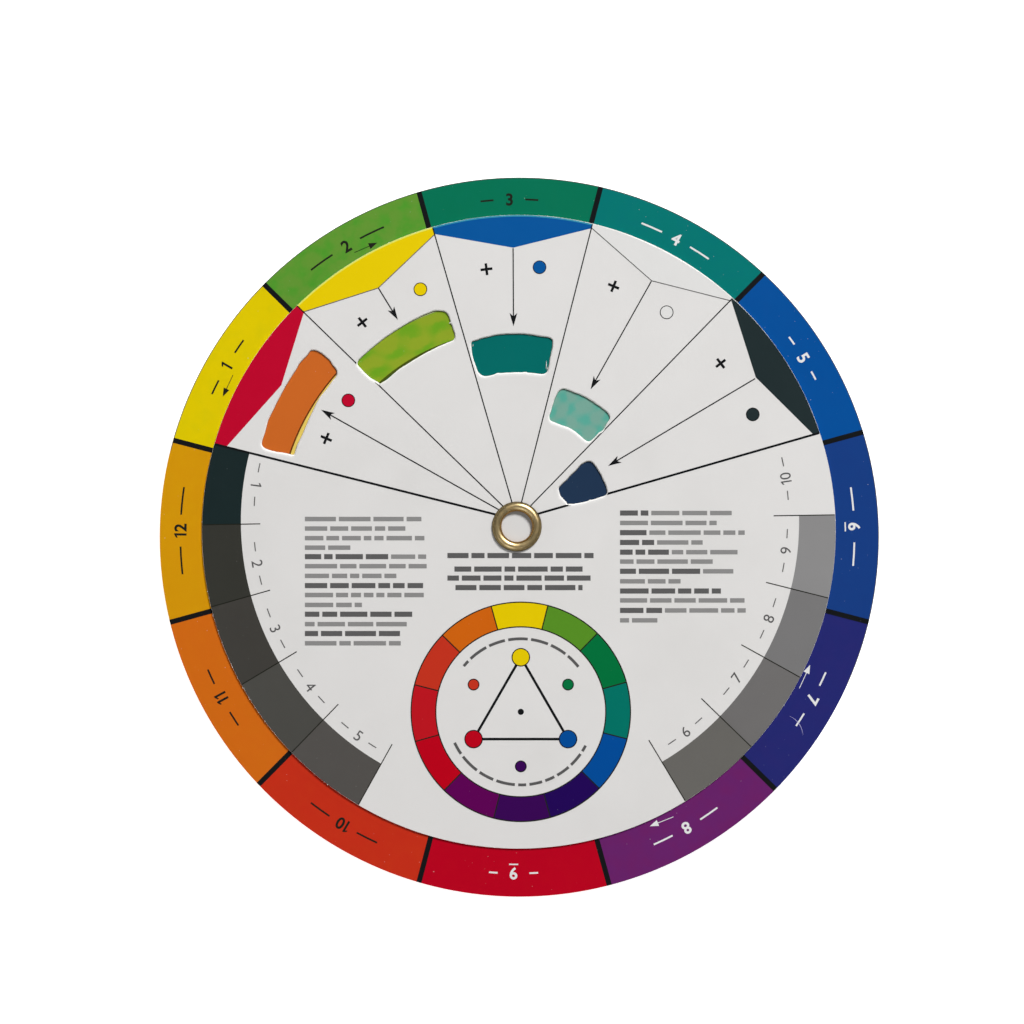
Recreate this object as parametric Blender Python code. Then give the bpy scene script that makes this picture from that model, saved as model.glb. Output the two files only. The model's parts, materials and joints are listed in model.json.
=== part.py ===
"""Colour mixing wheel: three round printed cards that turn on one brass eyelet.

The wheel lies flat with its front face up. The origin is the centre of the base disc's outline,
at the height of what the wheel rests on. +Y points to the top of the printed face.
The cards are die-cut slightly off register, so each outline has its own measured centre.
"""
import math

import bmesh
import bpy
from mathutils import Matrix, Vector

mm = 0.001

# Places in the plane, from the centre of the base disc's outline
PIVOT = Vector((-0.49 * mm, 2.06 * mm, 0))
DIAL_CENTRE = Vector((-0.105 * mm, 1.04 * mm, 0))
WINDOW_CENTRE = Vector((-0.453 * mm, 3.366 * mm, 0))

# Radii
BASE_RADIUS = 70.0 * mm
DIAL_RADIUS = 61.6 * mm
REAR_DIAL_RADIUS = 46.0 * mm
BARREL_RADIUS = 3.2 * mm
PIVOT_HOLE_RADIUS = BARREL_RADIUS + 0.12 * mm
WASHER_RADIUS = 5.3 * mm
FLANGE_RADIUS = 4.85 * mm
REAR_ROLL_RADIUS = 4.6 * mm

# Thicknesses and the stack, from the bottom up
BRASS = 0.24 * mm
WASHER_THICKNESS = 0.3 * mm
THIN_CARD = 0.4 * mm
BASE_CARD = 0.5 * mm
RUNNING_GAP = 0.1 * mm
PRESSED_GAP = 0.05 * mm
REAR_ROLL_HEIGHT = 0.62 * mm
FLANGE_HEIGHT = 0.85 * mm
REAR_BEND = 0.4 * mm
RIM_LIFT = 0.04 * mm

WASHER_Z = REAR_ROLL_HEIGHT + PRESSED_GAP
REAR_DIAL_Z = WASHER_Z + WASHER_THICKNESS + RUNNING_GAP
BASE_Z = REAR_DIAL_Z + THIN_CARD + RUNNING_GAP
DIAL_Z = BASE_Z + BASE_CARD + RUNNING_GAP
FLANGE_Z = DIAL_Z + THIN_CARD + RUNNING_GAP

# Sides of the round shapes
RIM_SIDES = 180
SMALL_SIDES = 48
ARC_STEPS = 10
CORNER_STEPS = 4

# Each window is a ring sector about WINDOW_CENTRE: inner and outer radius, start and end in degrees
# anticlockwise from +X, then how far its corners are eased: outer start, outer end, inner end, inner start
WINDOWS = {
    "red": (44.8, 51.8, 140.0, 164.2, (1.2, 1.6, 0.5, 1.4)),
    "yellow": (37.1, 43.5, 108.5, 135.4, (1.5, 1.1, 0.3, 1.3)),
    "blue": (28.7, 36.1, 78.2, 104.5, (0.9, 0.9, 1.1, 1.3)),
    "white": (20.3, 27.3, 46.4, 72.8, (1.2, 1.1, 1.1, 0.8)),
    "black": (10.1, 18.5, 15.3, 39.8, (1.0, 1.3, 1.0, 0.3)),
}


def circle(centre, radius, sides):
    """Points round a circle, anticlockwise."""
    turn = 2 * math.pi / sides
    return [centre + Vector((math.cos(i * turn), math.sin(i * turn), 0)) * radius for i in range(sides)]


def polar(centre, radius, degrees):
    angle = math.radians(degrees)
    return centre + Vector((math.cos(angle), math.sin(angle), 0)) * radius


def arc(centre, radius, start, end):
    return [polar(centre, radius, start + (end - start) * i / ARC_STEPS) for i in range(ARC_STEPS + 1)]


def eased(before, corner, after):
    """A corner as a short curve from the end of one side to the start of the next."""
    points = []
    for i in range(1, CORNER_STEPS):
        t = i / CORNER_STEPS
        points.append(before * (1 - t) ** 2 + corner * 2 * t * (1 - t) + after * t**2)
    return points


def window_outline(inner, outer, start, end, ease):
    """The outline of one window, anticlockwise, with its four corners eased."""
    inner *= mm
    outer *= mm
    outer_start, outer_end, inner_end, inner_start = [size * mm for size in ease]
    low_corner = polar(WINDOW_CENTRE, outer, start)
    high_corner = polar(WINDOW_CENTRE, outer, end)
    high_inner = polar(WINDOW_CENTRE, inner, end)
    low_inner = polar(WINDOW_CENTRE, inner, start)
    outer_arc = arc(
        WINDOW_CENTRE,
        outer,
        start + math.degrees(outer_start / outer),
        end - math.degrees(outer_end / outer),
    )
    inner_arc = arc(
        WINDOW_CENTRE,
        inner,
        end - math.degrees(inner_end / inner),
        start + math.degrees(inner_start / inner),
    )
    low_side = [
        polar(WINDOW_CENTRE, inner + inner_start, start),
        polar(WINDOW_CENTRE, outer - outer_start, start),
    ]
    high_side = [
        polar(WINDOW_CENTRE, outer - outer_end, end),
        polar(WINDOW_CENTRE, inner + inner_end, end),
    ]
    return (
        outer_arc
        + eased(outer_arc[-1], high_corner, high_side[0])
        + high_side
        + eased(high_side[-1], high_inner, inner_arc[0])
        + inner_arc
        + eased(inner_arc[-1], low_inner, low_side[0])
        + low_side
        + eased(low_side[-1], low_corner, outer_arc[0])
    )


def finish(name, colour, roughness, metallic):
    """One plain material for a piece."""
    material = bpy.data.materials.new(name)
    material.use_nodes = True
    shader = material.node_tree.nodes["Principled BSDF"]
    shader.inputs["Base Color"].default_value = (*colour, 1)
    shader.inputs["Roughness"].default_value = roughness
    shader.inputs["Metallic"].default_value = metallic
    return material


def add_object(name, bm, origin, material, sharp_degrees):
    """The mesh as an object whose origin is at the given point, shaded smooth between its sharp edges."""
    bmesh.ops.translate(bm, vec=-origin, verts=bm.verts)
    mesh = bpy.data.meshes.new(name)
    bm.to_mesh(mesh)
    bm.free()
    mesh.shade_smooth()
    mesh.set_sharp_from_angle(angle=math.radians(sharp_degrees))
    mesh.materials.append(material)
    obj = bpy.data.objects.new(name, mesh)
    obj.location = origin
    bpy.context.scene.collection.objects.link(obj)
    return obj


def card(name, outlines, bottom, thickness, material):
    """A flat card: the first outline is its edge, and the others are its holes."""
    bm = bmesh.new()
    edges = []
    for outline in outlines:
        verts = [bm.verts.new((point.x, point.y, bottom)) for point in outline]
        for i, vert in enumerate(verts):
            edges.append(bm.edges.new((vert, verts[i - 1])))
    bmesh.ops.triangle_fill(bm, use_beauty=True, edges=edges, normal=(0, 0, -1))
    grown = bmesh.ops.extrude_face_region(bm, geom=bm.faces[:])
    top = [item for item in grown["geom"] if isinstance(item, bmesh.types.BMVert)]
    bmesh.ops.translate(bm, vec=(0, 0, thickness), verts=top)
    bmesh.ops.recalc_face_normals(bm, faces=bm.faces)
    return add_object(name, bm, Vector((PIVOT.x, PIVOT.y, bottom)), material, 40)


def turned(name, profile, material):
    """A round piece about the pivot, from the closed outline of its wall as (radius, height) points."""
    bm = bmesh.new()
    verts = [bm.verts.new((radius, 0, height)) for radius, height in profile]
    wall = [bm.edges.new((verts[i - 1], vert)) for i, vert in enumerate(verts)]
    bmesh.ops.spin(
        bm,
        geom=verts + wall,
        axis=(0, 0, 1),
        cent=(0, 0, 0),
        steps=SMALL_SIDES,
        angle=2 * math.pi,
        use_merge=True,
        use_duplicate=False,
    )
    bmesh.ops.remove_doubles(bm, verts=bm.verts, dist=0.001 * mm)
    bmesh.ops.recalc_face_normals(bm, faces=bm.faces)
    bmesh.ops.transform(bm, matrix=Matrix.Translation(PIVOT), verts=bm.verts)
    return add_object(name, bm, PIVOT.copy(), material, 50)


def quarter(centre_r, centre_z, reach_r, reach_z, start, end, steps):
    """Points on part of an ellipse in the (radius, height) plane, at angles from start to end."""
    points = []
    for i in range(steps + 1):
        angle = math.radians(start + (end - start) * i / steps)
        points.append((centre_r + reach_r * math.cos(angle), centre_z + reach_z * math.sin(angle)))
    return points


def thickened(path, thickness):
    """The outline of a sheet of the given thickness whose middle follows the path."""
    left, right = [], []
    for i, (radius, height) in enumerate(path):
        before = path[max(i - 1, 0)]
        after = path[min(i + 1, len(path) - 1)]
        along = Vector((after[0] - before[0], after[1] - before[1])).normalized()
        side = Vector((-along.y, along.x)) * thickness / 2
        left.append((radius + side.x, height + side.y))
        right.append((radius - side.x, height - side.y))
    return left + right[::-1]


def eyelet_profile():
    """The wall of the eyelet: rear roll pressed flat, barrel, and a flange curled down on to the dial."""
    half = BRASS / 2
    barrel = BARREL_RADIUS - half
    lip = REAR_ROLL_HEIGHT - half
    rear_outer = REAR_ROLL_RADIUS - half
    rear = quarter(rear_outer - lip, half + lip, lip, lip, 0, -90, 4)
    rear += quarter(barrel + REAR_BEND, half + REAR_BEND, REAR_BEND, REAR_BEND, -90, -180, 4)
    reach = (FLANGE_RADIUS - half - barrel) / 2
    rise = FLANGE_HEIGHT - half - RIM_LIFT
    flange = quarter(barrel + reach, FLANGE_Z + RIM_LIFT, reach, rise, 180, 0, 10)
    return thickened(rear + flange, BRASS)


def washer_profile():
    """A flat ring whose four edges are broken by the punch."""
    inner = PIVOT_HOLE_RADIUS
    bottom, top = WASHER_Z, WASHER_Z + WASHER_THICKNESS
    ease = 0.08 * mm
    return [
        (WASHER_RADIUS - ease, bottom),
        (WASHER_RADIUS, bottom + ease),
        (WASHER_RADIUS, top - ease),
        (WASHER_RADIUS - ease, top),
        (inner + ease, top),
        (inner, top - ease),
        (inner, bottom + ease),
        (inner + ease, bottom),
    ]


def clear_scene():
    for obj in list(bpy.data.objects):
        bpy.data.objects.remove(obj, do_unlink=True)


def build_wheel():
    hue_card = finish("printed hue card", (0.42, 0.30, 0.16), 0.32, 0)
    white_card = finish("laminated white card", (0.70, 0.70, 0.69), 0.34, 0)
    brass = finish("eyelet brass", (0.72, 0.52, 0.24), 0.28, 1)
    pivot_hole = circle(PIVOT, PIVOT_HOLE_RADIUS, SMALL_SIDES)
    windows = [window_outline(*window) for window in WINDOWS.values()]
    base_edge = circle(Vector(), BASE_RADIUS, RIM_SIDES)
    dial_edge = circle(DIAL_CENTRE, DIAL_RADIUS, RIM_SIDES)
    rear_edge = circle(PIVOT, REAR_DIAL_RADIUS, RIM_SIDES)
    card("base_disc", [base_edge, pivot_hole], BASE_Z, BASE_CARD, hue_card)
    card("front_dial", [dial_edge, pivot_hole, *windows], DIAL_Z, THIN_CARD, white_card)
    card("rear_dial", [rear_edge, pivot_hole], REAR_DIAL_Z, THIN_CARD, white_card)
    turned("eyelet", eyelet_profile(), brass)
    turned("rear_washer", washer_profile(), brass)


clear_scene()
build_wheel()
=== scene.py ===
import json
import math
import random

import bmesh
import bpy
from mathutils import Matrix, Vector


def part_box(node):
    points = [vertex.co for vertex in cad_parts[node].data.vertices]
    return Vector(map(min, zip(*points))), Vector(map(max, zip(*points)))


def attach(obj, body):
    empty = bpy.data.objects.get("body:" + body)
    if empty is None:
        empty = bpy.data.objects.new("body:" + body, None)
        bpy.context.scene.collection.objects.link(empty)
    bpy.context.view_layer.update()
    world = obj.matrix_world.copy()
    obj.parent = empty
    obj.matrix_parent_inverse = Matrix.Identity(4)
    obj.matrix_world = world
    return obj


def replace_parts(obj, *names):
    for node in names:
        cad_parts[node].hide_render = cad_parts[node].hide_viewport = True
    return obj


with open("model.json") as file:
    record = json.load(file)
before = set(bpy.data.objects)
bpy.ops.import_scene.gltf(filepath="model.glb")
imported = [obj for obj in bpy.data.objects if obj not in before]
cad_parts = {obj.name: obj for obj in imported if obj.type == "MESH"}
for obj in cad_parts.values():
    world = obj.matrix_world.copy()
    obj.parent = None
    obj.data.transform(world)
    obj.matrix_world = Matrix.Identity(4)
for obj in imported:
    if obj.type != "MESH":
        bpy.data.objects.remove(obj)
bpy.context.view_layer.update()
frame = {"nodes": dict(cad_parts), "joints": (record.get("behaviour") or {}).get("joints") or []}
print("frame loaded:", ", ".join(sorted(frame["nodes"])))

mm = 0.001


# Scene helpers
def linked(name, data):  # a new object in the scene
    made = bpy.data.objects.new(name, data)
    bpy.context.scene.collection.objects.link(made)
    return made


def meshOf(name, bm):
    mesh = bpy.data.meshes.new(name)
    bm.to_mesh(mesh)
    bm.free()
    return mesh


def evaluatedMesh(made):  # its mesh as the viewport shows it
    bpy.context.view_layer.update()
    graph = bpy.context.evaluated_depsgraph_get()
    return bpy.data.meshes.new_from_object(made.evaluated_get(graph))


# Places shared by the pieces, in metres from the middle of the base disc
def middleOf(node):
    low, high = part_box(node)
    return Vector(((low.x + high.x) / 2, (low.y + high.y) / 2))


origin = Vector((0, 0))
pivot = Vector(frame["joints"][0]["pos_m"][:2])
baseCentre = middleOf("base_disc")
dialCentre = middleOf("front_dial")
baseLow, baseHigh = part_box("base_disc")
dialLow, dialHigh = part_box("front_dial")
rearLow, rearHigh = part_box("rear_dial")
baseRadius = (baseHigh.x - baseLow.x) / 2
dialRadius = (dialHigh.x - dialLow.x) / 2
rearRadius = (rearHigh.x - rearLow.x) / 2
holeRadius = 3.32 * mm

# The print is a little off the die cut, so each card has a print centre of its own
basePrint = Vector((-1.54, 1.656)) * mm
dialPrint = Vector((-0.453, 3.366)) * mm

# Pixels of the photograph per mm, and the pixel of the base disc's middle
photo = {"scale": 5.1393, "middle": (518.83, 536.60)}


def fromPhoto(x, y):
    middle, scale = photo["middle"], photo["scale"]
    return Vector(((x - middle[0]) / scale, (middle[1] - y) / scale)) * mm


# Camera, straight above the wheel as in the photograph
cameraSetup = {"height": 0.46, "sensor": 36.0, "pixels": 1024, "nearest": 0.01}


def makeCamera():
    data = bpy.data.cameras.new("camera")
    camera = linked("camera", data)
    half = (cameraSetup["pixels"] - 1) / 2
    aim = fromPhoto(half, half)
    width = cameraSetup["pixels"] / photo["scale"] * mm
    camera.location = (aim.x, aim.y, baseHigh.z + cameraSetup["height"])
    data.sensor_width = cameraSetup["sensor"]
    data.lens = cameraSetup["height"] * cameraSetup["sensor"] / width
    data.clip_start = cameraSetup["nearest"]
    bpy.context.scene.camera = camera


makeCamera()


# Shader maths as plain expressions
def operator(operation, swapped=False):
    def apply(self, other):
        pair = (other, self) if swapped else (self, other)
        return self.board.maths(operation, *pair)

    return apply


class Wire:  # an output socket that takes part in arithmetic
    def __init__(self, board, socket):
        self.board = board
        self.socket = socket

    __add__ = operator("ADD")
    __radd__ = operator("ADD", True)
    __sub__ = operator("SUBTRACT")
    __rsub__ = operator("SUBTRACT", True)
    __mul__ = operator("MULTIPLY")
    __rmul__ = operator("MULTIPLY", True)
    __truediv__ = operator("DIVIDE")


class Board:  # the node board of one material
    def __init__(self, name, fixed):
        self.material = bpy.data.materials.new(name)
        self.material.use_nodes = True
        self.tree = self.material.node_tree
        self.shader = self.tree.nodes["Principled BSDF"]
        for key, value in fixed.items():
            self.shader.inputs[key].default_value = value
        self.place = self.node("ShaderNodeTexCoord", out="Object")

    def node(self, kind, settings=None, sockets=None, out=0):
        made = self.tree.nodes.new(kind)
        for key, value in (settings or {}).items():
            if key == "stops":
                self.setStops(made.color_ramp, value)
            else:
                setattr(made, key, value)
        for key, value in (sockets or {}).items():
            self.plug(made.inputs[key], value)
        return Wire(self, made.outputs[out])

    def plug(self, socket, value):
        if isinstance(value, Wire):
            self.tree.links.new(value.socket, socket)
        elif socket.type == "RGBA":
            socket.default_value = paint(value)
        else:
            socket.default_value = value

    def setStops(self, ramp, stops):
        ramp.interpolation = "CONSTANT"
        for index, (position, colour) in enumerate(stops):
            fresh = index > 0 and index >= len(ramp.elements)
            element = ramp.elements.new(position) if fresh else ramp.elements[index]
            element.position = position
            element.color = paint(colour)

    def maths(self, operation, *values):
        return self.node("ShaderNodeMath", {"operation": operation}, dict(enumerate(values)))

    def vector(self, operation, first, second, out=0):
        return self.node("ShaderNodeVectorMath", {"operation": operation}, {0: first, 1: second}, out)

    def mix(self, amount, first, second, blend="MIX"):
        settings = {"data_type": "RGBA", "blend_type": blend}
        return self.node("ShaderNodeMix", settings, {0: amount, 6: first, 7: second}, 2)

    def noise(self, size, detail=2.0, stretch=(1, 1, 1)):
        place = self.vector("MULTIPLY", self.place, stretch)
        sockets = {"Vector": place, "Scale": 1 / size, "Detail": detail}
        return self.node("ShaderNodeTexNoise", None, sockets)

    def ease(self, value, low, high):  # 0 below low, 1 above high
        sockets = {"Value": value, "From Min": low, "From Max": high}
        return self.node("ShaderNodeMapRange", {"interpolation_type": "SMOOTHSTEP"}, sockets)

    def finish(self, colour, roughness=None, height=None, depth=0.02 * mm, strength=0.3):
        self.plug(self.shader.inputs["Base Color"], colour)
        if roughness is not None:
            self.plug(self.shader.inputs["Roughness"], roughness)
        if height is not None:
            sockets = {"Strength": strength, "Distance": depth, "Height": height}
            self.plug(self.shader.inputs["Normal"], self.node("ShaderNodeBump", None, sockets))
        return self.material


# Colours are triples as they look on a screen, and paint makes the shader's own values of them
def paint(colour):
    values = []
    for value in colour:
        share = value / 255
        values.append(share / 12.92 if share <= 0.04045 else ((share + 0.055) / 1.055) ** 2.4)
    return values + [1]


def between(first, second, share):
    return tuple(a + (b - a) * share for a, b in zip(first, second))


cardWhite = (222, 220, 218)
inkBlack = (18, 20, 22)
hues = {  # anticlockwise, from the hue whose sector starts at hueStart
    "blue": (2, 77, 150),
    "blueGreen": (1, 115, 109),
    "green": (3, 112, 81),
    "yellowGreen": (97, 147, 51),
    "yellow": (222, 198, 0),
    "yellowOrange": (210, 147, 8),
    "orange": (208, 104, 20),
    "redOrange": (196, 46, 24),
    "red": (184, 0, 30),
    "redViolet": (103, 34, 104),
    "violet": (36, 40, 110),
    "blueViolet": (22, 60, 128),
}
hueStart = 15.35  # degrees, the edge between blue violet and blue
hueList = list(hues.values())


def colourByAngle(board, centre, start, colours):  # equal sectors, anticlockwise from start
    local = board.vector("SUBTRACT", board.place, (centre.x, centre.y, 0))
    x = board.node("ShaderNodeSeparateXYZ", None, {0: local}, "X")
    y = Wire(board, x.socket.node.outputs["Y"])
    share = board.maths("FRACT", (board.maths("ARCTAN2", y, x) - math.radians(start)) / math.tau)
    step = board.maths("FLOOR", share * len(colours))
    stops = [(index / len(colours), colour) for index, colour in enumerate(colours)]
    return board.node("ShaderNodeValToRGB", {"stops": stops}, {0: (step + 0.5) / len(colours)})


# The cards are printed and then laminated, so every ink shares one gloss
laminate = {"Coat Weight": 0.07, "Coat Roughness": 0.15, "Specular IOR Level": 0.05}
laminateLook = {
    "roughness": 0.40,
    "shade": 0.955,
    "cloud": 9 * mm,
    "grain": 0.16 * mm,
    "peel": 0.9 * mm,
    "dust": 0.45 * mm,
    "dusty": (0.79, 0.83),
    "scuff": 2.2 * mm,
    "scuffed": (0.58, 0.75),
}


def laminated(name, colourOf, dusty=0.35):
    board = Board(name, laminate)
    cloud = board.noise(laminateLook["cloud"], 3.0)
    grain = board.noise(laminateLook["grain"])
    peel = board.noise(laminateLook["peel"])
    shade = laminateLook["shade"] + 0.05 * cloud + 0.04 * grain
    colour = board.mix(1.0, colourOf(board), shade, "MULTIPLY")
    dust = board.ease(board.noise(laminateLook["dust"], 1.0), *laminateLook["dusty"]) * dusty
    colour = board.mix(dust, colour, cardWhite)
    scuff = board.ease(board.noise(laminateLook["scuff"], 4.0, (1.0, 0.12, 1.0)), *laminateLook["scuffed"])
    roughness = laminateLook["roughness"] + 0.10 * (cloud - 0.5) + 0.10 * scuff
    return board.finish(colour, roughness, 0.6 * peel + 0.4 * grain, 0.02 * mm, 0.22)


def plainInk(name, colour, dusty=0.0):
    def colourOf(board):
        return board.mix(0.25 * board.noise(4.5 * mm), colour, between(colour, cardWhite, 0.06))

    return laminated(name, colourOf, dusty)


moire = {  # the two steps of each lattice of blotches, in mm, and a pixel of the photograph where one lies
    "tint": ((2.4, -2.2), (2.3, 3.1), (573, 408)),
    "full": ((5.7, 0.9), (-2.75, -4.1), (395, 352.5)),
}


def moireBlotches(board, kind):  # soft blotches where two printing screens beat against each other
    first, second, pixel = moire[kind]
    area = first[0] * second[1] - first[1] * second[0]
    place = fromPhoto(*pixel)
    bend = 0.9 * board.noise(5 * mm, 1.0) + 0.25 * board.noise(1.1 * mm)
    height = 0.0
    for x, y in ((second[1], -second[0]), (-first[1], first[0])):
        rate = Vector((x, y, 0)) / (area * mm)
        along = board.vector("DOT_PRODUCT", board.place, rate, "Value")
        phase = (along - rate.dot(place.to_3d()) + bend - 0.575) * math.tau
        height = board.maths("COSINE", phase) + height
    return board.ease(height, -1.0, 1.9)


def vivid(hue, tint):  # the purer colour of the blotches
    shares = (1.12, 1.1, 1.12 if tint else 0.62)
    return between([value * share for value, share in zip(hue, shares)], (222, 240, 200), tint)


def printedHues(colours, centre, patchy=0.0, kind="full", tint=0.0):
    def colourOf(board):
        colour = colourByAngle(board, centre, hueStart, colours)
        if patchy:
            pure = colourByAngle(board, centre, hueStart, [vivid(hue, tint) for hue in hueList])
            colour = board.mix(patchy * moireBlotches(board, kind), colour, pure)
        return colour

    return colourOf


def toward(index, target, share, mud=(74, 60, 52)):  # what two hues of the wheel give when mixed
    gap = (target - index + 6) % 12 - 6
    at = index + gap * share
    low = math.floor(at)
    colour = between(hueList[low % 12], hueList[(low + 1) % 12], at - low)
    return between(colour, mud, 0.85 * (abs(gap) / 6) ** 6)


def ringColour(board):  # the pure hues, a little cloudy where the screens drift, yellow green most
    colour = colourByAngle(board, basePrint, hueStart, hueList)
    clouds = [between(hueList[i], hueList[i - 1], 0.05) for i in range(12)]
    clouds[list(hues).index("yellowGreen")] = (74, 150, 42)
    drift = colourByAngle(board, basePrint, hueStart, clouds)
    return board.mix(board.ease(board.noise(2.6 * mm), 0.36, 0.8), colour, drift)


# Plane figures
sides = {  # steps round each kind of circle, and along the arcs
    "card": 240,
    "rearCard": 200,
    "patch": 180,
    "line": 144,
    "floor": 96,
    "hole": 64,
    "spot": 32,
    "chevronArc": 24,
    "greyArc": 12,
}
barStep = 1.5  # degrees to each step of a curved bar


def polar(centre, radius, degrees):
    angle = math.radians(degrees)
    return centre + Vector((math.cos(angle), math.sin(angle))) * radius


def headingOf(vector):
    return math.degrees(math.atan2(vector.y, vector.x))


def arcPoints(centre, radius, start, end, steps):
    return [polar(centre, radius, start + (end - start) * i / steps) for i in range(steps + 1)]


def circlePoints(centre, radius, steps):
    return arcPoints(centre, radius, 0, 360, steps)[:-1]


def rayHit(start, degrees, centre, radius):  # where a ray meets a circle
    along = polar(origin, 1, degrees)
    away = start - centre
    back = away.dot(along)
    return start + along * (-back + math.sqrt(back * back - away.dot(away) + radius * radius))


def hitArc(place, start, end, centre, radius, steps):
    return [rayHit(place, start + (end - start) * i / steps, centre, radius) for i in range(steps + 1)]


def evenly(way):
    return 1


def offsetLoop(points, distance, share=evenly):  # outwards from an anticlockwise outline
    moved = []
    for i, point in enumerate(points):
        along = (points[(i + 1) % len(points)] - points[i - 1]).normalized()
        way = Vector((along.y, -along.x))
        moved.append(point + way * distance * share(way))
    return moved


dialRim = {"least": 0.03, "most": 0.2, "crushedSide": 62, "spread": 12, "ripple": 0.012}  # mm and degrees


def rimInset(way):  # in mm: the die crushed one side of the dial, and the white core shows most there
    angle = math.atan2(way.y, way.x)
    turn = (math.degrees(angle) - dialRim["crushedSide"]) / dialRim["spread"]
    ripple = 1 + math.sin(29 * angle) * math.sin(11 * angle + 0.7)
    return dialRim["least"] + dialRim["most"] * math.exp(-turn * turn) + dialRim["ripple"] * ripple


def inkedRim(points):
    moved = []
    for point in points:
        way = (point - dialCentre).normalized()
        moved.append(dialCentre + way * (dialRadius - rimInset(way) * mm))
    return moved


# Inks lie on the card as thin films, one over another at up to three heights
film = {"sink": 0.004 * mm, "first": 0.012 * mm, "second": 0.020 * mm, "third": 0.026 * mm}


def strip(bm, first, second, finish=0):  # faces between two closed rows of as many points
    for i in range(len(first)):
        bm.faces.new((first[i - 1], first[i], second[i], second[i - 1])).material_index = finish


def prism(bm, outline, bottom, top, finish=0):
    low, high = [[bm.verts.new((point.x, point.y, z)) for point in outline] for z in (bottom, top)]
    for loop in (high, low[::-1]):
        bm.faces.new(loop).material_index = finish
    strip(bm, low, high, finish)


def slab(bm, outline, finish=0, top=film["second"]):
    prism(bm, outline, -film["sink"], top, finish)


def band(bm, inner, outer, finish=0, top=film["second"]):  # a closed ring between two loops
    loops = [(inner, -film["sink"]), (outer, -film["sink"]), (outer, top), (inner, top)]
    rings = [[bm.verts.new((point.x, point.y, z)) for point in loop] for loop, z in loops]
    for k in range(4):
        strip(bm, rings[k], rings[(k + 1) % 4], finish)


def circleLine(bm, centre, radius, width, finish=0, top=film["second"], steps=sides["line"]):
    loops = [circlePoints(centre, radius + way * width / 2, steps) for way in (-1, 1)]
    band(bm, *loops, finish, top)


def bar(bm, start, end, width, finish=0, top=film["second"]):
    side = (end - start).normalized().orthogonal() * width / 2
    slab(bm, [start + side, start - side, end - side, end + side][::-1], finish, top)


def arcBar(bm, centre, radius, start, end, width, finish=0):
    steps = max(2, int(abs(end - start) / barStep))
    outer = arcPoints(centre, radius + width / 2, start, end, steps)
    inner = arcPoints(centre, radius - width / 2, start, end, steps)
    slab(bm, outer + inner[::-1], finish)


def arrow(bm, tail, tip, width, head, finish=0, top=film["second"], sweep=0.78, spread=0.29):
    along = (tip - tail).normalized()
    side = Vector((-along.y, along.x))
    neck = tip - along * head * sweep
    wing = tip - along * head
    half = side * width / 2
    wide = side * head * spread
    outline = [tail - half, neck - half, wing - wide, tip, wing + wide, neck + half, tail + half]
    slab(bm, outline, finish, top)


def dot(bm, centre, radius, finish=0, top=film["second"]):
    slab(bm, circlePoints(centre, radius, sides["spot"]), finish, top)


# Numbers
numeral = {"gap": 0.14, "stem": 0.062, "flag": 0.26}  # shares of a number's height
digitStore = {}


def makeOne(weight):  # the font's own 1 is a bare stroke
    half = numeral["stem"] + weight
    flag = -numeral["flag"]
    outline = [(-half, -0.5), (half, -0.5), (half, 0.5), (-0.3 * half, 0.5)]
    outline += [(flag, 0.34), (flag, 0.21), (-half, 0.31)]
    bm = bmesh.new()
    prism(bm, [Vector(point) for point in outline], -0.5, 0.5)
    return meshOf("one", bm)


def fontDigit(digit, weight):
    curve = bpy.data.curves.new("digit", "FONT")
    curve.body = digit
    curve.resolution_u = 6
    curve.extrude = 0.5
    curve.offset = weight
    holder = linked("digit", curve)
    mesh = evaluatedMesh(holder)
    bpy.data.objects.remove(holder)
    return mesh


def digitSolid(digit, weight):  # a digit as a closed solid, one unit high, and its width
    key = (digit, weight)
    if key not in digitStore:
        mesh = makeOne(weight) if digit == "1" else fontDigit(digit, weight)
        low = Vector((min(v.co[i] for v in mesh.vertices) for i in range(3)))
        high = Vector((max(v.co[i] for v in mesh.vertices) for i in range(3)))
        size = 1 / (high.y - low.y)
        mesh.transform(Matrix.Diagonal((size, size, 1, 1)) @ Matrix.Translation(-(low + high) / 2))
        digitStore[key] = (mesh, size * (high.x - low.x))
    return digitStore[key]


def number(bm, value, place, height, degrees, finish=0, weight=0.0):
    digits = [digitSolid(digit, weight) for digit in str(value)]
    x = -(sum(width for _, width in digits) + numeral["gap"] * (len(digits) - 1)) / 2
    thick = film["second"] + film["sink"]
    spin = Matrix.Rotation(math.radians(degrees), 4, "Z") @ Matrix.Diagonal((height, height, thick, 1))
    lift = Matrix.Translation((place.x, place.y, thick / 2 - film["sink"]))
    for source, width in digits:
        mesh = source.copy()
        mesh.transform(lift @ spin @ Matrix.Translation((x + width / 2, 0, 0)))
        x += width + numeral["gap"]
        known = len(bm.faces)
        bm.from_mesh(mesh)
        bm.faces.ensure_lookup_table()
        for face in bm.faces[known:]:
            face.material_index = finish
        bpy.data.meshes.remove(mesh)


def sideBars(bm, centre, radius, angle, near, far, width, finish=0):  # a bar on each side of a number
    near, far = math.degrees(near / radius), math.degrees(far / radius)
    arcBar(bm, centre, radius, angle + near, angle + far, width, finish)
    arcBar(bm, centre, radius, angle - far, angle - near, width, finish)


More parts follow.
